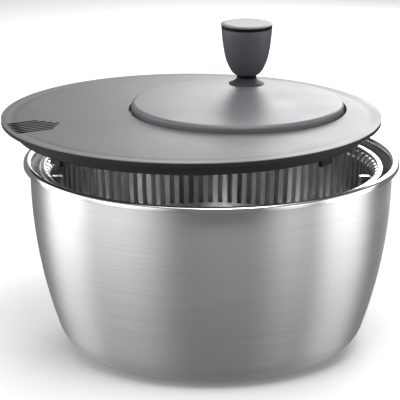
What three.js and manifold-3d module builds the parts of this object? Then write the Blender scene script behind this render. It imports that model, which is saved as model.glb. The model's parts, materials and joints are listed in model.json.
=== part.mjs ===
// Salad spinner: steel bowl, basket on a pivot, and a lid with a hand crank.
// Millimetres, +Z up. The origin is the middle of the bowl's flat foot.
import * as THREE from 'three';
import { mergeVertices } from 'three/addons/utils/BufferGeometryUtils.js';
import Module from 'manifold-3d';

const wasm = await Module();
wasm.setup();

// ---- driving dimensions -------------------------------------------------
const GAP = 0.3;                       // clearance between pieces that touch
// bowl
const WALL_TOP_R = 127.3;               // outside of the wall, below the rim
const STEEL = 1.0;
const SIDE_ARC_R = 334;                // long sweep of the side
const SIDE_DROP = 7.6;                 // straight part under the rim
const TURN = THREE.MathUtils.degToRad(19.25);   // where the side meets the heel
const HEEL_R = 26.7;
const RIM_R = 132;
const BOWL_H = SIDE_DROP + SIDE_ARC_R * Math.sin(TURN) + HEEL_R * (1 - Math.sin(TURN));
const FOOT_R = WALL_TOP_R - SIDE_ARC_R * (1 - Math.cos(TURN)) - HEEL_R * Math.cos(TURN);
// basket
const BASKET_TOP = BOWL_H - 4.8;
const BASKET_RIM_R = 120.8;
const BASKET_T = 1.2;
const BASKET_FLOOR = 11.5;             // underside of the basket floor
const DRAINS = 36;                     // slots round the basket wall
const LUGS = 6;
// lid, heights measured from its top surface
const LID_R = 133;
const COVER_T = 1.8;
const FLANGE_UNDER = -3.0;
const SKIRT_R = 123.4;
const SKIRT_T = 1.1;
const SKIRT_DROP = 8.0;
const CRANK_OFFSET = 39;               // crank axle to lid centre
const CRANK_ANGLE = THREE.MathUtils.degToRad(33);
const RECESS_R = 77.1;
const RECESS_T = 1.6;
const RECESS_FLOOR = -5.4;
const FLOOR_T = 1.4;
const CHANNEL_OUT = 129.2;             // faint ring channel near the lid's edge
const CHANNEL_IN = 122.2;
const CHANNEL_DEEP = 0.35;
const CHANNEL_SLOPE = 0.8;
const LEDGE_R = 119.6;                 // inner edge of the dark flange
const HUB_HOLE_R = 6.6;
const AXLE_HOLE_R = 1.9;
// crank disc
const DISC_R = 75.2;
const DISC_TOP = 4.7;
const DISC_T = 2.0;
const DISC_EDGE = 2.5;
const KNOB_ARM = 57.5;                 // crank axle to knob spindle
const KNOB_ANGLE = THREE.MathUtils.degToRad(82.5);
// gears
const MODULE = 2;
const RING_TEETH = 54;
const PINION_TEETH = 15;               // 54/2 - 15/2 modules apart = CRANK_OFFSET
// how the lid stands: lifted off its seat and a little to the left
const SEAT_Z = BOWL_H + GAP - FLANGE_UNDER;
const LID_LIFT = 27;
const LID_SHIFT = -14;
// fineness of the round pieces
const FINE = 48;
const MID = 28;
const SMALL = 14;

// ---- colours --------------------------------------------------------------
const STEEL_GREY = 0xb9bbbc;
const BRIGHT = 0xd9dadb;
const PLASTIC = 0x6a6b6e;
const DARK = 0x2c2d2f;
const PALE = 0xe6e7e6;

// ---- helpers --------------------------------------------------------------
// closed body from a three.js geometry, always facing outwards
function solid(geometry) {
  const bare = geometry.clone();
  bare.deleteAttribute('normal');
  bare.deleteAttribute('uv');
  const merged = mergeVertices(bare, 1e-4);
  const pos = merged.attributes.position.array;
  const idx = merged.index.array;
  const kept = [];
  let volume = 0;
  for (let i = 0; i < idx.length; i += 3) {
    const [a, b, c] = [idx[i], idx[i + 1], idx[i + 2]];
    if (a === b || b === c || c === a) continue;
    kept.push(a, b, c);
    const [pa, pb, pc] = [a, b, c].map((k) => new THREE.Vector3().fromArray(pos, 3 * k));
    volume += pa.dot(pb.cross(pc));
  }
  if (volume < 0) kept.reverse();
  return new wasm.Manifold(new wasm.Mesh({
    numProp: 3, vertProperties: Float32Array.from(pos), triVerts: Uint32Array.from(kept),
  }));
}

// body of revolution about +Z from a closed [r, z] outline
function turned(outline, segments) {
  const ring = outline.map(([r, z]) => new THREE.Vector2(r, z));
  const first = outline[0], last = outline[outline.length - 1];
  const onAxis = first[0] === 0 && last[0] === 0;
  if (!onAxis) ring.push(ring[0].clone());
  return solid(new THREE.LatheGeometry(ring, segments).rotateX(Math.PI / 2));
}

function tube(rIn, rOut, z0, z1, segments) {
  return turned([[rIn, z0], [rOut, z0], [rOut, z1], [rIn, z1]], segments);
}

function rod(r, z0, z1, segments) {
  return turned([[0, z0], [r, z0], [r, z1], [0, z1]], segments);
}

function block(x0, x1, y0, y1, z0, z1) {
  const box = new THREE.BoxGeometry(x1 - x0, y1 - y0, z1 - z0);
  return solid(box.translate((x0 + x1) / 2, (y0 + y1) / 2, (z0 + z1) / 2));
}

// outline points on an arc, angles from +r towards +z
function arc(r, z, radius, from, to, steps) {
  return Array.from({ length: steps + 1 }, (_, i) => {
    const a = from + (to - from) * i / steps;
    return [r + radius * Math.cos(a), z + radius * Math.sin(a)];
  });
}

function spin(body, degrees) {
  return body.rotate([0, 0, degrees]);
}

function join(bodies) {
  return bodies.reduce((all, one) => all.add(one));
}

const group = new THREE.Group();
group.name = 'salad_spinner';

function piece(name, body, at, color, roughness = 0.5, metalness = 0) {
  const mesh = body.translate(at).getMesh();
  const geometry = new THREE.BufferGeometry();
  geometry.setAttribute('position', new THREE.BufferAttribute(mesh.vertProperties, 3));
  geometry.setIndex(new THREE.BufferAttribute(mesh.triVerts, 1));
  geometry.computeVertexNormals();
  const node = new THREE.Mesh(
    geometry, new THREE.MeshStandardMaterial({ color, roughness, metalness }));
  node.name = name;
  group.add(node);
}

// ---- bowl -----------------------------------------------------------------
const HALF_PI = Math.PI / 2;
// one face of the bowl wall, foot to rim, set in from the outside by `inset`
function bowlFace(inset) {
  const sideR = WALL_TOP_R - SIDE_ARC_R;
  const sideZ = BOWL_H - SIDE_DROP;
  return [
    [0, inset],
    ...arc(FOOT_R, HEEL_R, HEEL_R - inset, -HALF_PI, -TURN, 5),
    ...arc(sideR, sideZ, SIDE_ARC_R - inset, -TURN, 0, 4).slice(1),
  ];
}
const CURL_IN = 3.0;                   // inner rounding of the rolled rim
const CURL_OUT = 2.0;
const outerCurlR = RIM_R - CURL_OUT;
const innerCurlR = WALL_TOP_R - STEEL + CURL_IN;
const rimOver = [
  ...arc(innerCurlR, BOWL_H - CURL_IN, CURL_IN - STEEL, Math.PI, HALF_PI, 2),
  ...arc(outerCurlR, BOWL_H - CURL_OUT, CURL_OUT - STEEL, HALF_PI, 0, 2),
  [RIM_R - STEEL, BOWL_H - 4],
  [RIM_R, BOWL_H - 4],
  ...arc(outerCurlR, BOWL_H - CURL_OUT, CURL_OUT, 0, HALF_PI, 3),
  ...arc(innerCurlR, BOWL_H - CURL_IN, CURL_IN, HALF_PI, Math.PI, 3),
];
piece('bowl_shell', turned([...bowlFace(0), ...rimOver, ...bowlFace(STEEL).reverse()], FINE),
  [0, 0, 0], STEEL_GREY, 0.35, 1);

// pivot the basket turns on, standing on the bowl floor
piece('pivot_stud', turned([
  [0, STEEL + GAP], [12, STEEL + GAP], [12, 2.4], [4, 3.6], [4, 8.2], [2.6, 9.6], [0, 9.8],
], SMALL), [0, 0, 0], BRIGHT, 0.3, 1);

// ---- basket ---------------------------------------------------------------
const NECK_R = 113.2;                  // outside of the wall where the shoulder begins
const BAND_IN = 116.6;                 // inner edge of the flat rim band
const LUG_IN = 104.5;                  // inner end of the lugs
// outside of the basket, from the axis out and up to the foot of its shoulder
const basketFace = [
  [0, BASKET_FLOOR], [90, BASKET_FLOOR], [96.5, 14.5], [103, 28], [108, 54], [111.6, 88],
  [NECK_R, BASKET_TOP - 8],
];

function basketBody() {
  const inside = basketFace.map(([r, z]) => [
    r === 0 ? 0 : r - BASKET_T * (z > 20 ? 1 : 0.3), z < 20 ? z + BASKET_T : z,
  ]).reverse();
  let body = turned([
    ...basketFace,
    [NECK_R + 1.5, BASKET_TOP - 4.8], [NECK_R + 4.6, BASKET_TOP - 3.4],
    [BASKET_RIM_R - 0.6, BASKET_TOP - 3.4],
    [BASKET_RIM_R, BASKET_TOP - 2.8], [BASKET_RIM_R, BASKET_TOP - 1],
    [BASKET_RIM_R - 1, BASKET_TOP], [BAND_IN + 1, BASKET_TOP], [BAND_IN, BASKET_TOP - 1],
    [NECK_R + 0.6, BASKET_TOP - 3.9],
    ...inside,
  ], 2 * DRAINS);
  const slot = block(100, 125, -2.4, 2.4, 30, BASKET_TOP - 5.4);
  const drain = block(24, 78, -1.6, 1.6, BASKET_FLOOR - 1, BASKET_FLOOR + 3);
  for (let i = 0; i < DRAINS; i++) {
    body = body.subtract(spin(slot, (i + 0.5) * 360 / DRAINS));
    if (i % 2) body = body.subtract(spin(drain, i * 360 / DRAINS));
  }
  const lug = block(LUG_IN, NECK_R - 0.9, -2, 2, BASKET_TOP - 20, BASKET_TOP - 8.5);
  const lugs = Array.from({ length: LUGS }, (_, i) => spin(lug, i * 360 / LUGS));
  return join([body, ...lugs]);
}
piece('basket', basketBody(), [0, 0, 0], BRIGHT, 0.3, 1);

// socket under the basket floor that sits over the pivot
piece('basket_socket', turned([
  [0, 10.2], [4.5, 9.2], [4.5, 4.4], [7.5, 4.4], [8.5, 6],
  [8.5, BASKET_FLOOR - GAP], [0, BASKET_FLOOR - GAP],
], SMALL), [0, 0, 0], PALE, 0.5);

// ---- lid --------------------------------------------------------------------
const lidAt = [LID_SHIFT, 0, SEAT_Z + LID_LIFT];
const crankX = CRANK_OFFSET * Math.cos(CRANK_ANGLE);
const crankY = CRANK_OFFSET * Math.sin(CRANK_ANGLE);
const crankAt = [lidAt[0] + crankX, crankY, lidAt[2]];

// pour slots: a sheaf of parallel slots that ends in an arrow point
const SLOTS = 7;
const SLOT_PITCH = 4.4;
const SLOT_W = 2.8;
const SLOT_ANGLE = 28;
const SLOT_TIP = -91;                  // inner end of the middle slot
const SLOT_SIDE = 22;                  // sideways place of the middle slot
const SLOT_STAGGER = 3.6;              // how much shorter each next slot is
const SLOT_THROUGH_R = 117.5;          // slots go right through up to here
const SLOT_GROOVE_R = 130.3;           // and run on as shallow grooves to here
const SLOT_GROOVE_DEEP = 0.9;

function coverBody() {
  const edge = COVER_T / 2;
  const plate = turned([
    [0, -COVER_T], [LID_R - edge, -COVER_T],
    ...arc(LID_R - edge, -edge, edge, -HALF_PI, HALF_PI, 4).slice(1, -1),
    [LID_R - edge, 0], [CHANNEL_OUT, 0], [CHANNEL_OUT - CHANNEL_SLOPE, -CHANNEL_DEEP],
    [CHANNEL_IN + CHANNEL_SLOPE, -CHANNEL_DEEP], [CHANNEL_IN, 0], [0, 0],
  ], FINE);
  const well = tube(RECESS_R, RECESS_R + RECESS_T, RECESS_FLOOR - FLOOR_T, -edge, FINE)
    .add(rod(RECESS_R + 0.5, RECESS_FLOOR - FLOOR_T, RECESS_FLOOR, FINE))
    .translate([crankX, crankY, 0]);
  const mouth = turned([
    [0, RECESS_FLOOR + 2], [RECESS_R, RECESS_FLOOR + 2], [RECESS_R, -0.8],
    [RECESS_R + 0.8, 0], [RECESS_R + 0.8, 1], [0, 1],
  ], FINE).translate([crankX, crankY, 0]);
  let body = plate.subtract(mouth).add(well);
  body = body.subtract(rod(HUB_HOLE_R, -9, 0, SMALL));
  body = body.subtract(rod(AXLE_HOLE_R, -9, 0, 12).translate([crankX, crankY, 0]));
  const inside = rod(SLOT_THROUGH_R, -4, 2, FINE);
  const groove = rod(SLOT_GROOVE_R, -SLOT_GROOVE_DEEP, 2, FINE);
  for (let i = 0; i < SLOTS; i++) {
    const step = i - (SLOTS - 1) / 2;
    const side = SLOT_SIDE + step * SLOT_PITCH;
    const tip = SLOT_TIP - Math.abs(step) * SLOT_STAGGER;
    const bar = block(-140, tip, side - SLOT_W / 2, side + SLOT_W / 2, -4, 2);
    const cut = spin(bar, SLOT_ANGLE);
    body = body.subtract(cut.intersect(inside)).subtract(cut.intersect(groove));
  }
  return body;
}
piece('lid_cover', coverBody(), lidAt, PLASTIC, 0.4);

// dark lower shell: flange ring that rests on the bowl, and the skirt inside it
const underZ = FLANGE_UNDER - SKIRT_DROP;
piece('lid_base', turned([
  [SKIRT_R - SKIRT_T, underZ + 0.6], [SKIRT_R - 0.8, underZ], [SKIRT_R, underZ + 1.2],
  [SKIRT_R, FLANGE_UNDER], [LID_R - 1, FLANGE_UNDER], [LID_R - 0.6, FLANGE_UNDER + 0.45],
  [LID_R - 1, -COVER_T - GAP], [LEDGE_R, -COVER_T - GAP], [LEDGE_R, FLANGE_UNDER],
  [SKIRT_R - SKIRT_T, FLANGE_UNDER - 0.8],
], FINE), lidAt, DARK, 0.5);

// axle of the crank, screwed to the floor of the recess from below
const footZ = RECESS_FLOOR + GAP;
piece('crank_axle', turned([
  [0, 0], [1.9, -1], [1.9, footZ], [10, footZ], [10, footZ + 0.9], [4, footZ + 0.9],
  [4, 1.4], [3.4, 2], [0, 2],
], SMALL), crankAt, BRIGHT, 0.3, 1);
const floorUnder = RECESS_FLOOR - FLOOR_T;
piece('axle_screw', turned([
  [0, floorUnder - 1.4], [0.9, floorUnder - 1.4], [0.9, floorUnder - 2.4],
  [3.0, floorUnder - 2.2], [3.6, floorUnder - 1.4], [3.6, floorUnder - GAP],
  [1.6, floorUnder - GAP], [1.6, -1.6], [0, -1.6],
], SMALL), crankAt, BRIGHT, 0.3, 1);

// flanged bush in the middle of the lid for the drive shaft
const SHAFT_R = 4.3;
piece('shaft_bush', turned([
  [SHAFT_R + GAP, floorUnder - 1.6], [6.2, floorUnder - 1.6], [6.2, footZ], [9, footZ],
  [9, footZ + 0.8], [SHAFT_R + GAP, footZ + 0.8],
], SMALL), lidAt, PALE, 0.5);

// ---- crank disc -------------------------------------------------------------
const knobX = KNOB_ARM * Math.cos(KNOB_ANGLE);
const knobY = KNOB_ARM * Math.sin(KNOB_ANGLE);
const discUnder = DISC_TOP - DISC_T;
const wallEnd = RECESS_FLOOR + 0.8;
const hubUnder = footZ + 0.9 + 1.1;
const SPINDLE_R = 3;

const disc = turned([
  [0, 2.3], [4.4, 2.3], [4.4, hubUnder], [8.5, hubUnder], [8.5, discUnder],
  [DISC_R - 2.2, discUnder], [DISC_R - 2.2, wallEnd], [DISC_R, wallEnd],
  ...arc(DISC_R - DISC_EDGE, DISC_TOP - DISC_EDGE, DISC_EDGE, 0, HALF_PI, 4),
  [0, DISC_TOP],
], FINE);
piece('crank_disc', disc.subtract(rod(SPINDLE_R + GAP, 0, 9, SMALL).translate([knobX, knobY, 0])),
  crankAt, PLASTIC, 0.35);

piece('axle_washer', tube(4.3, 8.5, footZ + 0.9 + 0.25, hubUnder - 0.25, SMALL),
  crankAt, BRIGHT, 0.3, 1);

// outline of an involute gear; `slack` widens or narrows the teeth
function gearOutline(teeth, tipR, rootR, slack, flank) {
  const pressure = THREE.MathUtils.degToRad(20);
  const inv = (a) => Math.tan(a) - a;
  const pitchR = MODULE * teeth / 2;
  const baseR = pitchR * Math.cos(pressure);
  const half = (r) => {
    const a = Math.acos(Math.min(1, baseR / Math.max(r, baseR)));
    return Math.PI / (2 * teeth) + slack / pitchR + inv(pressure) - inv(a);
  };
  const points = [];
  for (let t = 0; t < teeth; t++) {
    const mid = 2 * Math.PI * t / teeth;
    for (let side = -1; side <= 1; side += 2) {
      for (let k = 0; k < flank; k++) {
        const f = k / (flank - 1);
        const r = side < 0 ? rootR + (tipR - rootR) * f : tipR + (rootR - tipR) * f;
        const a = mid + side * half(r);
        points.push(new THREE.Vector2(r * Math.cos(a), r * Math.sin(a)));
      }
    }
  }
  return points;
}
const ringPitch = MODULE * RING_TEETH / 2;
const pinionPitch = MODULE * PINION_TEETH / 2;
const gearZ = RECESS_FLOOR + 1.2;
const ringTop = discUnder - GAP;

function ringGearBody() {
  const shape = new THREE.Shape().absarc(0, 0, ringPitch + 7, 0, 2 * Math.PI, false);
  shape.holes.push(new THREE.Path(
    gearOutline(RING_TEETH, ringPitch + 2.4, ringPitch - 1.5, 0.2, 2)));
  const flat = new THREE.ExtrudeGeometry(
    shape, { depth: ringTop - gearZ, bevelEnabled: false, curveSegments: MID });
  const ring = spin(solid(flat.translate(0, 0, gearZ)), THREE.MathUtils.radToDeg(CRANK_ANGLE));
  // room for the head of the knob spindle
  return ring.subtract(rod(6.8, 0.4, 4, SMALL).translate([knobX, knobY, 0]));
}
piece('ring_gear', ringGearBody(), crankAt, PALE, 0.5);

// ---- knob: spindle, flared foot and clip stay with the disc ----------------------
const knobAt = [crankAt[0] + knobX, crankAt[1] + knobY, crankAt[2] + DISC_TOP];
piece('knob_spindle', turned([
  [0, -3.7], [5.4, -3.7], [6, -3.2], [6, -DISC_T - GAP], [SPINDLE_R, -DISC_T - GAP],
  [SPINDLE_R, 14.4], [2.4, 15], [0, 15],
], SMALL), knobAt, BRIGHT, 0.3, 1);
piece('knob_foot', turned([
  [SPINDLE_R + GAP, GAP], [12.9, GAP], [12.9, 0.8], [10.6, 1.3], [8.8, 2.2], [7.6, 3.4],
  [7.2, 4.8], [7.2, 6.7], [SPINDLE_R + GAP, 6.7],
], MID), knobAt, PLASTIC, 0.35);
piece('knob_clip', tube(SPINDLE_R + GAP, 7, 11.3, 12.5, SMALL), knobAt, BRIGHT, 0.3, 1);

// hollow grip, open at the top under its cap
const grip = [
  [8.4, 7.0], [10.7, 8.9], [12.7, 12.2], [14.8, 17.0], [17.2, 28.2], [18.6, 41.6],
];
piece('knob_body', turned([
  [SPINDLE_R + GAP, 7.0], ...grip,
  ...grip.slice(3).reverse().map(([r, z]) => [r - 2, z]),
  [9, 11.0], [SPINDLE_R + GAP, 11.0],
], MID), knobAt, PLASTIC, 0.35);
piece('knob_ring', tube(12.6, 18.6, 41.9, 43.6, MID), knobAt, DARK, 0.6);
piece('knob_cap', turned([
  [0, 38], [12, 38], [12, 43.9], [18.6, 43.9], [19, 44.2], [19, 44.5], [18.4, 45],
  [15, 45.2], [0, 45.3],
], MID), knobAt, PLASTIC, 0.2);

// ---- drive: pinion, shaft and the spider that turns the basket ----------------------
const gearTurn = THREE.MathUtils.radToDeg(CRANK_ANGLE) + 180;
function pinionBody() {
  const shape = new THREE.Shape(
    gearOutline(PINION_TEETH, pinionPitch + 1.6, pinionPitch - 2.3, -0.15, 4));
  shape.holes.push(new THREE.Path().absarc(0, 0, SHAFT_R + GAP, 0, 2 * Math.PI, true));
  const flat = new THREE.ExtrudeGeometry(
    shape, { depth: 5.2, bevelEnabled: false, curveSegments: SMALL });
  return spin(solid(flat.translate(0, 0, gearZ)), gearTurn);
}
piece('pinion', pinionBody(), lidAt, PALE, 0.5);

const hubTop = floorUnder - 1.6 - GAP - 0.8 - GAP;
const hubEnd = hubTop - 9;
piece('drive_shaft', turned([
  [0, -4], [0, 2.2], [6.2, 2.2], [6.2, gearZ + 5.2 + GAP], [SHAFT_R, gearZ + 5.2 + GAP],
  [SHAFT_R, hubEnd + 1], [1.9, hubEnd + 1], [1.9, -4.8],
], SMALL), lidAt, BRIGHT, 0.3, 1);
piece('shaft_washer', tube(SHAFT_R + GAP, 8.5, hubTop + GAP, hubTop + GAP + 0.8, SMALL),
  lidAt, BRIGHT, 0.3, 1);

// three-armed driver; its tips pass down between the lugs inside the basket
const ARM_TIP_R = 107;
const ARM_W = 14;
const ARM_ANGLES = [90, 210, 330];      // each arm starts between two lugs
function spiderBody() {
  const hub = tube(SHAFT_R + GAP, 15, hubEnd, hubTop, MID);
  const arm = block(12, ARM_TIP_R, -ARM_W / 2, ARM_W / 2, hubEnd + 2, hubEnd + 5)
    .add(block(12, ARM_TIP_R - 4, -1.4, 1.4, hubEnd + 4, hubTop - 1))
    .add(block(ARM_TIP_R - 3, ARM_TIP_R, -ARM_W / 2, ARM_W / 2, hubEnd - 3.5, hubEnd + 5));
  return join([hub, ...ARM_ANGLES.map((angle) => spin(arm, angle))]);
}
piece('drive_spider', spiderBody(), lidAt, DARK, 0.5);
piece('spider_screw', turned([
  [0, hubEnd - 1.2], [0.9, hubEnd - 1.2], [0.9, hubEnd - 2.4], [5.4, hubEnd - 2.2],
  [6.2, hubEnd - 1.4], [6.2, hubEnd - GAP], [1.6, hubEnd - GAP], [1.6, hubEnd + 8],
  [0, hubEnd + 8],
], SMALL), lidAt, BRIGHT, 0.3, 1);

export default group;
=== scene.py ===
"""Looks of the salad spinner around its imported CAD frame: metres, +Z up."""
import json
import math

import bmesh
import bpy
from mathutils import Matrix, Vector


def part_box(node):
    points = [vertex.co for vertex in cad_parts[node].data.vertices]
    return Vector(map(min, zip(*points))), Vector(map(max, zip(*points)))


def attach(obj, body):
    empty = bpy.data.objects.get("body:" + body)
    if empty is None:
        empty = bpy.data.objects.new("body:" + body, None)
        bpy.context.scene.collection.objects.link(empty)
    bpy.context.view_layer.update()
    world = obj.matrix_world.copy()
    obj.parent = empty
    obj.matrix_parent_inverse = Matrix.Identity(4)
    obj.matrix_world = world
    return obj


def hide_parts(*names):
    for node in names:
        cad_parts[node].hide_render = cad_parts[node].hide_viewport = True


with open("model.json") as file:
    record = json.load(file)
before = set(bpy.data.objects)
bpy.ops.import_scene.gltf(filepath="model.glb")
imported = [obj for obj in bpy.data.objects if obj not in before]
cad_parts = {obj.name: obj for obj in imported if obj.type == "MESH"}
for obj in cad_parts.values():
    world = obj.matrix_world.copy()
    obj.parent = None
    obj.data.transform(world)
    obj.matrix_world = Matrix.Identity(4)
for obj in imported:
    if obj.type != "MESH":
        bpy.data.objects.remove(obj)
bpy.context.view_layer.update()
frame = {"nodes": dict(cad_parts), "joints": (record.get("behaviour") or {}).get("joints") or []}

MM = 0.001
FINE, MID, SMALL = 256, 96, 48          # steps round big, middling and small pieces
CREASE = 32                             # edges that turn by more degrees than this stay sharp
ON_AXIS = 1e-7                          # radii below this are the axis itself
LEAD = 0.15 * MM                        # a fillet has an extra point this far before and after it
LEAST_LEAD = 1e-6                       # and none where there is less room than this
SLIVER = 0.002 * MM                     # welding clears what is thinner than this
TRIES = 5                               # how often a boolean is solved before the script stops

# ---- places and sizes taken from the frame -------------------------------------
joints = {j["name"]: j for j in frame["joints"]}
bowl_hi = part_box("bowl_shell")[1]
base_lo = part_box("lid_base")[0]
cover_lo, cover_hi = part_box("lid_cover")
disc_lo, disc_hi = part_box("crank_disc")
basket_lo, basket_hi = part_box("basket")


def axis_at(joint, z):
    """The point at the height z on the axis of an upright joint."""
    x, y = joints[joint]["pos_m"][:2]
    return Vector((x, y, z))


ORIGIN = Vector((0, 0, 0))
LID = Vector(((cover_lo.x + cover_hi.x) / 2, 0, cover_hi.z))
CRANK = axis_at("crank_spin", LID.z)
KNOB = axis_at("knob_spin", disc_hi.z)
RIM_R = bowl_hi.x
BOWL_H = bowl_hi.z
LID_R = (cover_hi.x - cover_lo.x) / 2
DISC_R = (disc_hi.x - disc_lo.x) / 2


# ---- outlines --------------------------------------------------------------------
def arc(r, z, radius, start, end, steps):
    """Outline points on an arc, angles in degrees from +r towards +z."""
    turn = [math.radians(start + (end - start) * i / steps) for i in range(steps + 1)]
    return [(r + radius * math.cos(a), z + radius * math.sin(a)) for a in turn]


def rounded(corners, closed=False, steps=5):
    """[(r, z, fillet)] in millimetres to an outline in metres with filleted corners."""
    count = len(corners)
    places = [Vector(corner[:2]) * MM for corner in corners]

    def sides(i):
        """The two sides that meet at a corner, pointing away from it."""
        return places[i - 1] - places[i], places[(i + 1) % count] - places[i]

    def reach(i):
        """How far the fillet of a corner runs along its sides."""
        i %= count
        if corners[i][2] == 0 or (not closed and i in (0, count - 1)):
            return 0
        before, after = sides(i)
        return corners[i][2] * MM / math.tan(before.angle(after) / 2)

    points = []
    for i, here in enumerate(places):
        if reach(i) == 0:
            points.append(tuple(here))
            continue
        before, after = sides(i)
        spare = min(before.length - reach(i) - reach(i - 1), after.length - reach(i) - reach(i + 1))
        if spare < 0:
            raise ValueError(f"the fillet at {corners[i]} has no room")
        a, b = before.normalized(), after.normalized()
        centre = here + (a + b).normalized() * corners[i][2] * MM / math.sin(a.angle(b) / 2)
        first, last = here + a * reach(i), here + b * reach(i)
        lead = min(LEAD, spare / 3)
        if lead > LEAST_LEAD:
            points.append(tuple(first + a * lead))
        start, end = first - centre, last - centre
        sweep = start.angle_signed(end)
        for k in range(steps + 1):
            turn = Matrix.Rotation(-sweep * k / steps, 2)
            points.append(tuple(centre + turn @ start))
        if lead > LEAST_LEAD:
            points.append(tuple(last + b * lead))
    return points


def metres(points):
    """Points in millimetres turned to metres."""
    return [(x * MM, y * MM) for x, y in points]


# ---- meshes ----------------------------------------------------------------------
def lathe(outline, centre=ORIGIN, steps=FINE):
    """Body of revolution about +Z: the outline starts and ends on the axis or closes on itself."""
    bm = bmesh.new()
    rings = []
    for r, z in outline:
        if r < ON_AXIS:
            rings.append([bm.verts.new((centre.x, centre.y, centre.z + z))])
            continue
        rings.append([
            bm.verts.new((centre.x + r * math.cos(a), centre.y + r * math.sin(a), centre.z + z))
            for a in (2 * math.pi * k / steps for k in range(steps))
        ])
    pairs = list(zip(rings, rings[1:]))
    if outline[0][0] > ON_AXIS:
        pairs.append((rings[-1], rings[0]))
    for low, high in pairs:
        for k in range(steps):
            n = (k + 1) % steps
            if len(low) == 1:
                bm.faces.new((low[0], high[n], high[k]))
            elif len(high) == 1:
                bm.faces.new((low[k], low[n], high[0]))
            else:
                bm.faces.new((low[k], low[n], high[n], high[k]))
    return bm


def prism(points, z0, z1, centre=ORIGIN, angle=0.0):
    """Upright body on a closed [(x, y)] plan."""
    bm = bmesh.new()
    turn = Matrix.Rotation(angle, 4, "Z")
    rows = [[bm.verts.new(centre + turn @ Vector((x, y, z))) for x, y in points] for z in (z0, z1)]
    bm.faces.new(rows[0][::-1])
    bm.faces.new(rows[1])
    count = len(points)
    for k in range(count):
        n = (k + 1) % count
        bm.faces.new((rows[0][k], rows[0][n], rows[1][n], rows[1][k]))
    return bm


def round_end(x, y, r, start, steps=8):
    """Half circle of plan points round (x, y), counterclockwise from the angle start in degrees."""
    turn = [math.radians(start + 180 * k / steps) for k in range(steps + 1)]
    return [(x + r * math.cos(a), y + r * math.sin(a)) for a in turn]


def capsule(x0, x1, y, width):
    """Plan of a slot with round ends, along X."""
    r = width / 2
    return [*round_end(x1 - r, y, r, -90), *round_end(x0 + r, y, r, 90)]


def gather(parts):
    """Several bmeshes in one."""
    whole = bmesh.new()
    for part in parts:
        mesh = bpy.data.meshes.new("part")
        part.to_mesh(mesh)
        part.free()
        whole.from_mesh(mesh)
        bpy.data.meshes.remove(mesh)
    return whole


def shade(mesh, crease=CREASE):
    """Smooth shading, except across edges that turn by more than the crease angle."""
    mesh.shade_smooth()
    mesh.set_sharp_from_angle(angle=math.radians(crease))


def thing(name, bm, crease=CREASE):
    """Object from a bmesh, shaded smooth except across creases."""
    bmesh.ops.recalc_face_normals(bm, faces=bm.faces)
    mesh = bpy.data.meshes.new(name)
    bm.to_mesh(mesh)
    bm.free()
    obj = bpy.data.objects.new(name, mesh)
    bpy.context.scene.collection.objects.link(obj)
    shade(mesh, crease)
    return obj


def closed_volume(mesh):
    """Volume inside a mesh, or None where it isn't closed."""
    bm = bmesh.new()
    bm.from_mesh(mesh)
    volume = bm.calc_volume(signed=True) if all(e.is_manifold for e in bm.edges) else None
    bm.free()
    return volume


def carve(obj, bm, operation="DIFFERENCE"):
    """Boolean of obj with a closed tool, applied to its mesh.

    The solver's result is checked: a cut has to leave a closed mesh of a smaller volume and a
    join one of a larger volume. A wrong result is solved again, and never kept.
    """
    tool = thing("tool", bm)
    before = closed_volume(obj.data)
    step = obj.modifiers.new("carve", "BOOLEAN")
    step.operation, step.solver, step.object = operation, "EXACT", tool
    for _ in range(TRIES):
        obj.update_tag()
        bpy.context.view_layer.update()
        made = bpy.data.meshes.new_from_object(
            obj.evaluated_get(bpy.context.evaluated_depsgraph_get()))
        after = closed_volume(made)
        if after is not None and (before < after if operation == "UNION" else 0 < after < before):
            break
        bpy.data.meshes.remove(made)
    else:
        raise RuntimeError(f"no sound {operation} on {obj.name} in {TRIES} tries")
    obj.modifiers.clear()
    obj.data = made
    bpy.data.objects.remove(tool)
    shade(made)
    return obj


def weld(obj):
    """Clears the slivers and zero-area faces that booleans leave behind."""
    bm = bmesh.new()
    bm.from_mesh(obj.data)
    bmesh.ops.remove_doubles(bm, verts=bm.verts, dist=SLIVER)
    bmesh.ops.dissolve_degenerate(bm, edges=bm.edges, dist=SLIVER)
    bmesh.ops.triangulate(bm, faces=[f for f in bm.faces if len(f.verts) > 4])
    bmesh.ops.dissolve_degenerate(bm, edges=bm.edges, dist=SLIVER)
    bm.to_mesh(obj.data)
    bm.free()
    if closed_volume(obj.data) is None:
        raise RuntimeError(f"{obj.name} is open after welding")
    shade(obj.data)
    return obj


def piece(obj, body, slot, material, *nodes):
    """Gives an object its material and its body, and hides the frame nodes it stands in for; the slot
    is not used.
    """
    obj.data.materials.clear()
    obj.data.materials.append(material)
    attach(obj, body)
    if nodes:
        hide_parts(*nodes)
    return obj


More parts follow.
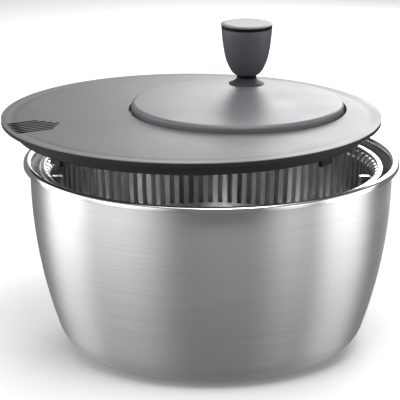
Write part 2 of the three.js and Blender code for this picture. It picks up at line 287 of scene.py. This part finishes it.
# ---- materials -------------------------------------------------------------------
class Shade:
    """A node material around one Principled shader."""

    def __init__(self, name, **constants):
        self.material = bpy.data.materials.new(name)
        self.material.use_nodes = True
        self.tree = self.material.node_tree
        self.shader = self.tree.nodes["Principled BSDF"]
        for socket, value in constants.items():
            self.shader.inputs[socket.replace("_", " ")].default_value = value

    def node(self, kind, inputs=(), **settings):
        made = self.tree.nodes.new(kind)
        for key, value in settings.items():
            setattr(made, key, value)
        for key, value in dict(inputs).items():
            if isinstance(value, bpy.types.NodeSocket):
                self.tree.links.new(value, made.inputs[key])
            else:
                made.inputs[key].default_value = value
        return made

    def math(self, operation, a, b=0.0):
        return self.node("ShaderNodeMath", {0: a, 1: b}, operation=operation).outputs[0]

    def place(self):
        return self.node("ShaderNodeTexCoord").outputs["Object"]

    def noise(self, vector, scale, detail=3.0, roughness=0.5):
        made = self.node(
            "ShaderNodeTexNoise",
            {"Vector": vector, "Scale": scale, "Detail": detail, "Roughness": roughness})
        return made.outputs["Fac"]

    def ramp(self, factor, low, high, lo_at=0.3, hi_at=0.7):
        made = self.node("ShaderNodeMapRange", {
            "Value": factor, "From Min": lo_at, "From Max": hi_at, "To Min": low, "To Max": high})
        return made.outputs["Result"]

    def blend(self, factor, a, b):
        made = self.node("ShaderNodeMix", data_type="RGBA")
        self.tree.links.new(factor, made.inputs["Factor"])
        made.inputs[6].default_value, made.inputs[7].default_value = (*a, 1), (*b, 1)
        return made.outputs[2]

    def bump(self, height, distance, strength=1.0):
        made = self.node(
            "ShaderNodeBump", {"Height": height, "Distance": distance, "Strength": strength})
        self.tree.links.new(made.outputs["Normal"], self.shader.inputs["Normal"])

    def set(self, socket, value):
        self.tree.links.new(value, self.shader.inputs[socket])


def moulded(name, colour, rough, grain=0.02 * MM, spread=0.05, shine=0.5):
    """Moulded plastic: fine grain, faint mottling and a little handling wear in the gloss."""
    s = Shade(name, Metallic=0.0, IOR=1.5, Specular_IOR_Level=shine)
    at = s.place()
    speck = s.noise(at, 900, 2, 0.7)
    mottle = s.math("ADD", s.math("MULTIPLY", s.noise(at, 35, 4), 0.45),
                    s.math("MULTIPLY", speck, 0.55))
    fine = s.noise(at, 2600, 2)
    rub = s.noise(at, 9, 5, 0.62)
    tint = [c * 0.88 for c in colour], [min(1, c * 1.12) for c in colour]
    s.set("Base Color", s.blend(s.ramp(mottle, 0, 1), *tint))
    gloss = s.math("ADD", s.ramp(rub, rough - spread, rough + spread, 0.35, 0.65),
                   s.ramp(fine, -0.03, 0.03))
    s.set("Roughness", gloss)
    s.bump(fine, grain, 0.6)
    return s.material


def turned_steel(name, colour, rough, anisotropy, polish_above=None, streak=1.0):
    """Steel brushed round +Z: streaks that follow the turning, in the gloss, tone and relief."""
    s = Shade(name, Metallic=1.0, Anisotropic=anisotropy, Anisotropic_Rotation=0.25)
    around = s.node("ShaderNodeTangent", direction_type="RADIAL", axis="Z")
    s.set("Tangent", around.outputs[0])
    at = s.place()
    x, y, z = s.node("ShaderNodeSeparateXYZ", {0: at}).outputs
    r = s.math("SQRT", s.math("ADD", s.math("MULTIPLY", x, x), s.math("MULTIPLY", y, y)))
    side = s.node("ShaderNodeVectorMath", {0: at}, operation="NORMALIZE").outputs[0]
    flat = s.node("ShaderNodeSeparateXYZ", {0: side})
    climb = s.math("ADD", z, s.math("MULTIPLY", r, 0.7))

    def streaks(along, across, detail, roughness):
        """Noise that changes slowly round the axis and quickly up the wall."""
        place = s.node("ShaderNodeCombineXYZ", {
            0: s.math("MULTIPLY", flat.outputs[0], along),
            1: s.math("MULTIPLY", flat.outputs[1], along),
            2: s.math("MULTIPLY", climb, across)}).outputs[0]
        return s.noise(place, 1.0, detail, roughness)

    hair = streaks(1.6, 2400, 4, 0.6)
    band = streaks(0.9, 700, 3, 0.5)
    both = s.math("ADD", s.math("MULTIPLY", hair, 0.75), s.math("MULTIPLY", band, 0.25))
    low = [c * (1 - 0.09 * streak) for c in colour]
    high = [min(1, c * (1 + 0.05 * streak)) for c in colour]
    s.set("Base Color", s.blend(s.ramp(both, 0, 1, 0.35, 0.65), low, high))
    gloss = s.ramp(both, rough - 0.03 * streak, rough + 0.03 * streak, 0.35, 0.65)
    if polish_above is not None:
        shine = s.ramp(z, 0, 1, polish_above, polish_above + 0.4 * MM)
        gloss = s.math("ADD", s.math("MULTIPLY", gloss, s.math("SUBTRACT", 1.0, shine)),
                       s.math("MULTIPLY", shine, 0.13))
    s.set("Roughness", gloss)
    s.bump(hair, 0.005 * MM * streak, 0.35)
    return s.material


bowl_steel = turned_steel("bowl_steel", (0.74, 0.745, 0.75), 0.42, 0.85,
                          polish_above=BOWL_H - 4.6 * MM)
basket_steel = turned_steel("basket_steel", (0.78, 0.785, 0.79), 0.2, 0.3, streak=0.6)
bright_steel = turned_steel("bright_steel", (0.8, 0.8, 0.81), 0.18, 0.2, streak=0.6)
lid_grey = moulded("lid_grey", (0.115, 0.12, 0.126), 0.48)
disc_grey = moulded("disc_grey", (0.13, 0.136, 0.143), 0.46)
grip_grey = moulded("grip_grey", (0.072, 0.077, 0.085), 0.55, shine=0.3)
# the foot's flare is darker than the disc and the grip: painted shade and painted reflection of the
# dark knob above it
foot_shade_grey = moulded("foot_shade_grey", (0.04, 0.043, 0.047), 0.6, shine=0.25)
cap_grey = moulded("cap_grey", (0.11, 0.115, 0.12), 0.47, grain=0.004 * MM, spread=0.03)
shell_dark = moulded("shell_dark", (0.018, 0.019, 0.02), 0.65, shine=0.2)
ring_black = moulded("ring_black", (0.004, 0.004, 0.0045), 0.6, shine=0.1)
gear_white = moulded("gear_white", (0.62, 0.62, 0.6), 0.45)

# ---- bowl ------------------------------------------------------------------------
STEEL = 1.0 * MM
RIM_REACH = 4.7 * MM                    # from the wall out to the edge of the rim
WALL_R = RIM_R - RIM_REACH              # outside of the wall, under the rim
SIDE_ARC, SIDE_DROP, HEEL = 334 * MM, 7.6 * MM, 26.7 * MM
TURN = 19.25                            # angle in degrees where the side meets the heel
turn = math.radians(TURN)
FOOT_R = WALL_R - SIDE_ARC * (1 - math.cos(turn)) - HEEL * math.cos(turn)


def bowl_face(depth):
    """One face of the wall, from the axis out and up, set in from the outside."""
    heel = arc(FOOT_R, HEEL, HEEL - depth, -90, -TURN, 22)
    side = arc(WALL_R - SIDE_ARC, BOWL_H - SIDE_DROP, SIDE_ARC - depth, -TURN, 0, 24)
    return [(0, depth), (FOOT_R * 0.6, depth), (FOOT_R - MM, depth), *heel, *side[1:]]


curl_in, curl_out = 3.0 * MM, 2.0 * MM
in_r, out_r = WALL_R - STEEL + curl_in, RIM_R - curl_out
rim = [
    *arc(in_r, BOWL_H - curl_in, curl_in - STEEL, 180, 90, 8),
    *arc(out_r, BOWL_H - curl_out, curl_out - STEEL, 90, 0, 8),
    (RIM_R - STEEL, BOWL_H - 3.8 * MM), (RIM_R - 0.7 * MM, BOWL_H - 4.0 * MM),
    (RIM_R - 0.3 * MM, BOWL_H - 4.0 * MM), (RIM_R, BOWL_H - 3.8 * MM),
    *arc(out_r, BOWL_H - curl_out, curl_out, 0, 90, 10),
    *arc(in_r, BOWL_H - curl_in, curl_in, 90, 180, 12),
]
bowl = thing("bowl", lathe([*bowl_face(0), *rim, *reversed(bowl_face(STEEL))]), 50)
piece(bowl, "bowl", "bowl_steel", bowl_steel, "bowl_shell")

# ---- basket ----------------------------------------------------------------------
TOP = basket_hi.z
BASKET_R = basket_hi.x
SHEET = 1.2                             # thickness in millimetres
FOOT_ROWS, HOOP_ROW = 3, 4              # how many rows are solid at the foot, and the solid row above
SLOTS = 94                              # narrow drain slots round the wall
SLOT_CELLS = 4                          # columns of cells to a slot and its bar, the middle two open
AROUND = SLOT_CELLS * SLOTS             # steps round the basket
NECK_R, SHOULDER = 113.2 * MM, 5.1 * MM
WALL_FOOT = 96.5, 14.5                  # radius and height where the wall stands on the floor
wall_line = [
    *metres([WALL_FOOT, (100.3, 20.6), (103, 28), (105.7, 40), (108, 54), (110, 71), (111.6, 88),
             (112.6, 106)]),
    *arc(NECK_R + SHOULDER, TOP - 8.4 * MM, SHOULDER, 180, 90, 6),
]


def inset(line, depth):
    """The outline moved to its left, towards the inside of the basket."""
    moved = []
    for k, point in enumerate(line):
        along = Vector(line[min(k + 1, len(line) - 1)]) - Vector(line[max(k - 1, 0)])
        along.normalize()
        moved.append((point[0] - along.y * depth, point[1] + along.x * depth))
    return moved


def slotted_wall():
    """The sheet between floor and rim, as a grid of cells of which the slots are left out."""
    faces = wall_line, inset(wall_line, SHEET * MM)
    bm = bmesh.new()
    grid = {}

    def vert(side, row, column):
        key = side, row, column % AROUND
        if key not in grid:
            r, z = faces[side][row]
            a = 2 * math.pi * key[2] / AROUND
            grid[key] = bm.verts.new((r * math.cos(a), r * math.sin(a), z))
        return grid[key]

    rows = len(wall_line) - 1
    open_rows = set(range(FOOT_ROWS, rows)) - {HOOP_ROW}

    def solid(row, column):
        if row < 0 or row >= rows:
            return False
        return not (row in open_rows and column % SLOT_CELLS in (1, 2))

    for row in range(rows):
        for c in range(AROUND):
            if not solid(row, c):
                continue
            o = [vert(0, row, c), vert(0, row, c + 1), vert(0, row + 1, c + 1), vert(0, row + 1, c)]
            i = [vert(1, row, c), vert(1, row, c + 1), vert(1, row + 1, c + 1), vert(1, row + 1, c)]
            bm.faces.new(o)
            bm.faces.new(i[::-1])
            if not solid(row, c - 1):
                bm.faces.new((o[0], o[3], i[3], i[0]))
            if not solid(row, c + 1):
                bm.faces.new((o[2], o[1], i[1], i[2]))
            if not solid(row - 1, c):
                bm.faces.new((o[1], o[0], i[0], i[1]))
            if not solid(row + 1, c):
                bm.faces.new((o[3], o[2], i[2], i[3]))
    return bm


wall = thing("basket_wall", slotted_wall(), 40)
piece(wall, "basket", "basket_steel", basket_steel, "basket")
top, rim_r, end_r = TOP / MM, BASKET_R / MM, (NECK_R + SHOULDER) / MM
rim_ring = rounded([
    (end_r - 0.02, top - 3.3, 0), (rim_r - 0.1, top - 3.3, 0.5), (rim_r, top - 0.6, 0.6),
    (rim_r - 0.9, top, 0.6), (end_r - 1.1, top, 0.7), (end_r - 1.6, top - 1.3, 0.5),
    (end_r - 0.02, top - 2.1, 0)], closed=True)
rim_piece = thing("basket_rim", lathe(rim_ring, steps=AROUND))
piece(rim_piece, "basket", "basket_steel", basket_steel)
floor_z = basket_lo.z / MM
floor_disc = thing("basket_floor", lathe(rounded([
    (0, floor_z, 0), (90, floor_z, 6), (*WALL_FOOT, 0), (WALL_FOOT[0] - SHEET, WALL_FOOT[1], 0),
    (89.4, floor_z + SHEET, 5), (0, floor_z + SHEET, 0)]), steps=AROUND))
DRAINS, DRAIN_IN, DRAIN_OUT, DRAIN_W = 18, 24, 78, 3.2
drain_plan = metres(capsule(DRAIN_IN, DRAIN_OUT, 0, DRAIN_W))
drains = [prism(drain_plan, 5 * MM, 20 * MM, angle=2 * math.pi * k / DRAINS) for k in range(DRAINS)]
carve(floor_disc, gather(drains))
piece(weld(floor_disc), "basket", "basket_steel", basket_steel)
LUGS, LUG_IN, LUG_HALF = 6, 104.5, 2
LUG_END = 111.6                         # at the wall's inner face below, 0.4 short of it above
LUG_LOW, LUG_HIGH = TOP - 20 * MM, TOP - 9.2 * MM
lug_plan = metres([*round_end(LUG_IN + LUG_HALF, 0, LUG_HALF, 90),
                   (LUG_END, -LUG_HALF), (LUG_END, LUG_HALF)])
lugs = thing("basket_lugs", gather([
    prism(lug_plan, LUG_LOW, LUG_HIGH, angle=2 * math.pi * k / LUGS) for k in range(LUGS)]))
piece(lugs, "basket", "basket_steel", basket_steel)

# ---- lid -------------------------------------------------------------------------
# heights are millimetres from the top surface of the lid
RECESS_R = DISC_R / MM + 1.9
RECESS_FLOOR, RECESS_UNDER = -5.4, -6.8
COVER_UNDER, HUB_HOLE_R = -1.8, 6.6
lid_r = LID_R / MM
CHANNEL_MID, CHANNEL_HALF, CHANNEL_DEEP = 125.6, 4.6, 0.28    # soft ring channel near the edge
channel_line = [
    ((CHANNEL_MID - x * CHANNEL_HALF) * MM, -CHANNEL_DEEP * (1 + math.cos(math.pi * x)) / 2 * MM)
    for x in (k / 6 for k in range(-6, 7))]
edge_line = rounded([
    (0, COVER_UNDER, 0), (lid_r - 1.7, COVER_UNDER, 0), (lid_r - 1.7, -0.4, 0), (lid_r, -0.4, 0.1),
    (lid_r, 0, 0.2), (CHANNEL_MID + CHANNEL_HALF + 0.3, 0, 0)])
cover = thing("lid_cover_top", lathe([*edge_line, *channel_line, (0, 0)], LID))
carve(cover, lathe(rounded([(0, RECESS_UNDER, 0), (RECESS_R + 1.6, RECESS_UNDER, 1.0),
                            (RECESS_R + 1.6, -0.9, 0), (0, -0.9, 0)]), CRANK), "UNION")
carve(cover, lathe(rounded([(0, RECESS_FLOOR, 0), (RECESS_R, RECESS_FLOOR, 0.8),
                            (RECESS_R, -0.7, 0), (RECESS_R + 0.15, -0.25, 0), (RECESS_R + 0.5, 0.02, 0),
                            (RECESS_R + 0.5, 3, 0), (0, 3, 0)]), CRANK))
carve(cover, lathe(metres([(0, -9), (HUB_HOLE_R, -9), (HUB_HOLE_R, 0), (0, 0)]), LID, SMALL))
SLOT_COUNT, SLOT_PITCH, SLOT_W, SLOT_SIDE, SLOT_TIP = 7, 4.4, 2.8, 22, -91
SLOT_ANGLE = math.radians(28)
SLOT_STAGGER, THROUGH_R, GROOVE_R, GROOVE_Z = 3.6, 117.5, 130.3, -0.9
STEP = 0.2                              # ledge round a slot, where it goes through its groove
FIT, LINING = 0.05, 0.3                 # how far the black slot liner's outside and inside are set in; the liner is painted shade in the slots


def slot_bars(reach, low, high, shrink=0.0):
    """The sheaf of slots as bars from the radius reach inwards to their staggered tips."""
    bars = []
    for k in range(SLOT_COUNT):
        step = k - (SLOT_COUNT - 1) / 2
        side = SLOT_SIDE + step * SLOT_PITCH
        tip = SLOT_TIP - abs(step) * SLOT_STAGGER
        end = -math.sqrt(reach ** 2 - side ** 2)
        plan = capsule(end + shrink, tip - shrink, side, SLOT_W - 2 * shrink)
        bars.append(prism(metres(plan), low * MM, high * MM, LID, SLOT_ANGLE))
    return gather(bars)


# the deep slots stay clear of every face of the grooves they lie in
carve(cover, slot_bars(GROOVE_R, GROOVE_Z, 3))
carve(cover, slot_bars(THROUGH_R, -4, -0.2, STEP))
piece(weld(cover), "lid", "lid_plastic", lid_grey, "lid_cover")
# thin black liners on the walls and floors of the slot grooves: painted shade deep in the slots
slot_shade_liners = thing("lid_slot_shade_liners", slot_bars(GROOVE_R, GROOVE_Z + FIT, -0.04, FIT))
carve(slot_shade_liners, slot_bars(GROOVE_R, GROOVE_Z + 0.2, 3, LINING))
carve(slot_shade_liners, slot_bars(THROUGH_R - 0.5, -4, 2, LINING + 0.1))
piece(weld(slot_shade_liners), "lid", "dark_plastic", ring_black)

skirt_low = base_lo.z / MM - LID.z / MM
SKIRT_IN, SKIRT_R, FLANGE_IN, FLANGE_R = 122.3, 123.4, 119.6, 132.9
FLANGE_LOW, FLANGE_TOP, LIP_IN, LIP_TOP = -3.0, -2.1, 131.5, -0.5
shell = thing("lid_shell", lathe(rounded([
    (SKIRT_IN, skirt_low + 0.5, 0), (122.6, skirt_low, 0.2), (SKIRT_R, skirt_low + 1.4, 1.5),
    (SKIRT_R, FLANGE_LOW, 0.6), (FLANGE_R, FLANGE_LOW, 0.4), (FLANGE_R, LIP_TOP, 0.2),
    (LIP_IN, LIP_TOP, 0.1), (LIP_IN, FLANGE_TOP, 0), (FLANGE_IN, FLANGE_TOP, 0),
    (FLANGE_IN, FLANGE_LOW, 0), (SKIRT_IN, -3.8, 0)],
    closed=True), LID))
piece(shell, "lid", "dark_plastic", shell_dark, "lid_base")

# ---- crank disc and knob -----------------------------------------------------------
disc_top = disc_hi.z / MM - LID.z / MM
disc_low = disc_lo.z / MM - LID.z / MM
disc_r = DISC_R / MM
disc_under, disc_in = disc_top - 2, disc_r - 2.2
HUB_IN, HUB_R, HUB_LOW, HUB_TOP = 4.4, 8.5, -3.1, 2.3
disc = thing("crank_disc_top", lathe(rounded([
    (0, HUB_TOP, 0), (HUB_IN, HUB_TOP, 0), (HUB_IN, HUB_LOW, 0), (HUB_R, HUB_LOW, 0.4),
    (HUB_R, disc_under, 0.8), (disc_in, disc_under, 1.0), (disc_in, disc_low, 0.4),
    (disc_r, disc_low, 0.4), (disc_r, disc_top, 2.5), (0, disc_top, 0)], steps=8), CRANK))
BORE = 3.3                              # radius of the hole for the knob's spindle
knob_axis = axis_at("knob_spin", LID.z)
carve(disc, lathe(metres([(0, 0), (BORE, 0), (BORE, 9), (0, 9)]), knob_axis, SMALL))
piece(weld(disc), "crank", "lid_plastic", disc_grey, "crank_disc")

# heights of the knob are millimetres from the top of the disc
NECK, FOOT_TOP = 7.2, 4.65              # radius and height where the flare ends
flare = [(BORE, 0.3), (12.9, 0.3), (12.7, 0.55), *[
    (NECK + 5.5 * (1 - rise) ** 1.6, 0.75 + 3.9 * rise ** 1.25)
    for rise in (math.sin(math.radians(a)) for a in range(8, 90, 8))],
    (NECK, FOOT_TOP), (BORE, FOOT_TOP)]
# the flare's dark colour is painted shade under the knob
foot = thing("knob_foot_flare", lathe(metres(flare), KNOB, MID), 50)
piece(foot, "crank", "lid_plastic", foot_shade_grey, "knob_foot")
collar = thing("knob_collar", lathe(rounded([
    (BORE, 4.75, 0), (NECK, 4.75, 0.2), (NECK, 6.75, 0.2), (BORE, 6.75, 0)], closed=True), KNOB, MID))
piece(collar, "crank", "dark_plastic", ring_black)

GRIP_R, GRIP_LOW, GRIP_TOP = 18.6, 7.0, 41.6
GRIP_SIDE = [(7.6, GRIP_LOW), (8.6, 7.15), (9.6, 7.8), (10.9, 9.2), (12.7, 12.2), (14.8, 17.0),
             (16.2, 22.2), (17.3, 28.5), (18.1, 35.0)]
GRIP_LIP = [(GRIP_R, 41.2), (18.5, 41.5), (18.2, GRIP_TOP)]
GRIP_WALL, GRIP_FLOOR = 2, 11
HOLLOW_FROM = 5                         # the side's point from which the grip is hollow


def smooth_line(points, per=5):
    """Catmull-Rom curve through outline points."""
    line = [Vector(p) for p in points]
    line = [2 * line[0] - line[1], *line, 2 * line[-1] - line[-2]]
    made = []
    for a, b, c, d in zip(line, line[1:], line[2:], line[3:]):
        for k in range(per):
            t = k / per
            made.append(0.5 * (2 * b + (c - a) * t + (2 * a - 5 * b + 4 * c - d) * t ** 2
                               + (3 * b - a - 3 * c + d) * t ** 3))
    return [tuple(v) for v in made] + [tuple(line[-2])]


outside = [(BORE, GRIP_LOW), *smooth_line(GRIP_SIDE), *GRIP_LIP]
inside = [(GRIP_R - GRIP_WALL, GRIP_TOP),
          *[(r - GRIP_WALL, z) for r, z in reversed(GRIP_SIDE[HOLLOW_FROM:])],
          (9, GRIP_FLOOR), (BORE, GRIP_FLOOR)]
grip = thing("knob_grip", lathe(metres([*outside, *inside]), KNOB, MID), 40)
piece(grip, "knob", "lid_plastic", grip_grey, "knob_body")
SEAL_LOW, SEAL_TOP = 41.7, 43.75
seal = thing("knob_seal", lathe(rounded([
    (12.6, SEAL_LOW, 0), (GRIP_R, SEAL_LOW, 0.3), (GRIP_R, SEAL_TOP, 0.3), (12.6, SEAL_TOP, 0)],
    closed=True), KNOB, MID))
piece(seal, "knob", "dark_plastic", ring_black, "knob_ring")
CAP_R, CAP_LOW, PLUG_R, PLUG_LOW = 18.95, 43.9, 12, 38
cap = thing("knob_cap_top", lathe(rounded([
    (0, PLUG_LOW, 0), (PLUG_R, PLUG_LOW, 0.5), (PLUG_R, CAP_LOW, 0), (CAP_R, CAP_LOW, 0.25),
    (CAP_R, 44.6, 0.35), (16.5, 45.2, 4.0), (0, 45.3, 0)]), KNOB, MID))
piece(cap, "knob", "cap_plastic", cap_grey, "knob_cap")

# ---- frame pieces that keep their own shape, with their edges broken --------------------
looks = {
    "pivot_stud": bright_steel, "basket_socket": gear_white, "crank_axle": bright_steel,
    "axle_screw": bright_steel, "shaft_bush": gear_white, "axle_washer": bright_steel,
    "ring_gear": gear_white, "knob_spindle": bright_steel, "knob_clip": bright_steel,
    "pinion": gear_white, "drive_shaft": bright_steel, "shaft_washer": bright_steel,
    "drive_spider": shell_dark, "spider_screw": bright_steel,
}
for name, look in looks.items():
    node = frame["nodes"][name]
    node.data.materials.clear()
    node.data.materials.append(look)
    edge = node.modifiers.new("edge", "BEVEL")
    edge.width, edge.segments, edge.limit_method = 0.35 * MM, 2, "ANGLE"
    edge.angle_limit = math.radians(40)
    edge.harden_normals = True

# ---- stage -----------------------------------------------------------------------------
HALF = 25                               # metres from the object to the edge of the floor
floor = thing("floor", prism([(-HALF, -HALF), (HALF, -HALF), (HALF, HALF), (-HALF, HALF)],
                             -20 * MM, -0.2 * MM))
paper = Shade("paper", Base_Color=(0.88, 0.88, 0.88, 1), Roughness=0.9)
paper.bump(paper.noise(paper.place(), 60, 4), 0.05 * MM, 0.2)
floor.data.materials.append(paper.material)
floor.visible_glossy = False


def softbox(name, azimuth, elevation, distance, width, height, radiance, feather=0.3):
    """Soft-edged area light aimed at the object; azimuth 0 is the camera's side, + to the right."""
    a, e = math.radians(azimuth), math.radians(elevation)
    aim = Vector((0, 0, 0.1))
    back = Vector((math.sin(a) * math.cos(e), -math.cos(a) * math.cos(e), math.sin(e)))
    data = bpy.data.lights.new(name, "AREA")
    data.shape, data.size, data.size_y = "RECTANGLE", width, height
    data.energy = radiance * math.pi * width * height
    data.use_nodes = True
    tree = data.node_tree
    link = tree.links.new
    across = tree.nodes.new("ShaderNodeSeparateXYZ")
    link(tree.nodes.new("ShaderNodeNewGeometry").outputs["Parametric"], across.inputs[0])
    fade = None
    for axis in (0, 1):
        middle = tree.nodes.new("ShaderNodeMath")
        middle.operation = "PINGPONG"
        middle.inputs[1].default_value = 0.5
        link(across.outputs[axis], middle.inputs[0])
        edge = tree.nodes.new("ShaderNodeMapRange")
        edge.interpolation_type = "SMOOTHSTEP"
        edge.inputs["From Max"].default_value = feather
        link(middle.outputs[0], edge.inputs["Value"])
        if fade is None:
            fade = edge.outputs[0]
        else:
            both = tree.nodes.new("ShaderNodeMath")
            both.operation = "MULTIPLY"
            link(fade, both.inputs[0])
            link(edge.outputs[0], both.inputs[1])
            fade = both.outputs[0]
    link(fade, tree.nodes["Emission"].inputs["Strength"])
    light = bpy.data.objects.new(name, data)
    light.location = aim + back * distance
    light.rotation_mode = "QUATERNION"
    light.rotation_quaternion = back.to_track_quat("Z", "Y")
    bpy.context.scene.collection.objects.link(light)
    return light


softbox("left_box", -100, 4, 1.2, 1.2, 1.3, 3.0, 0.35)
softbox("left_fill", -56, 4, 1.3, 2.2, 1.3, 2.4, 0.45)
softbox("right_box", 88, 4, 1.2, 1.3, 1.3, 2.8, 0.35)
softbox("right_fill", 48, 4, 1.3, 1.1, 1.3, 1.9, 0.5)
softbox("back_box", 161, 21, 1.25, 1.3, 0.7, 7.8, 0.35)
softbox("front_box", 20, 66, 1.6, 1.2, 1.0, 5.5)
softbox("top_box", 0, 84, 1.6, 2.2, 2.0, 2.4)

world = bpy.data.worlds.new("studio")
bpy.context.scene.world = world
world.use_nodes = True
world.node_tree.nodes["Background"].inputs["Color"].default_value = (1, 1, 1, 1)
world.node_tree.nodes["Background"].inputs["Strength"].default_value = 0.22
bpy.context.scene.view_settings.view_transform = "Standard"

# ---- camera ------------------------------------------------------------------------------
ELEVATION, DISTANCE, LENS = math.radians(15.8), 1.6, 203.35
target = Vector((-7.9, 0, 103.8)) * MM
camera_data = bpy.data.cameras.new("camera")
camera_data.sensor_width = 36
camera_data.lens = LENS
camera = bpy.data.objects.new("camera", camera_data)
camera.location = target + DISTANCE * Vector((0, -math.cos(ELEVATION), math.sin(ELEVATION)))
camera.rotation_euler = (math.pi / 2 - ELEVATION, 0, 0)
bpy.context.scene.collection.objects.link(camera)
bpy.context.scene.camera = camera
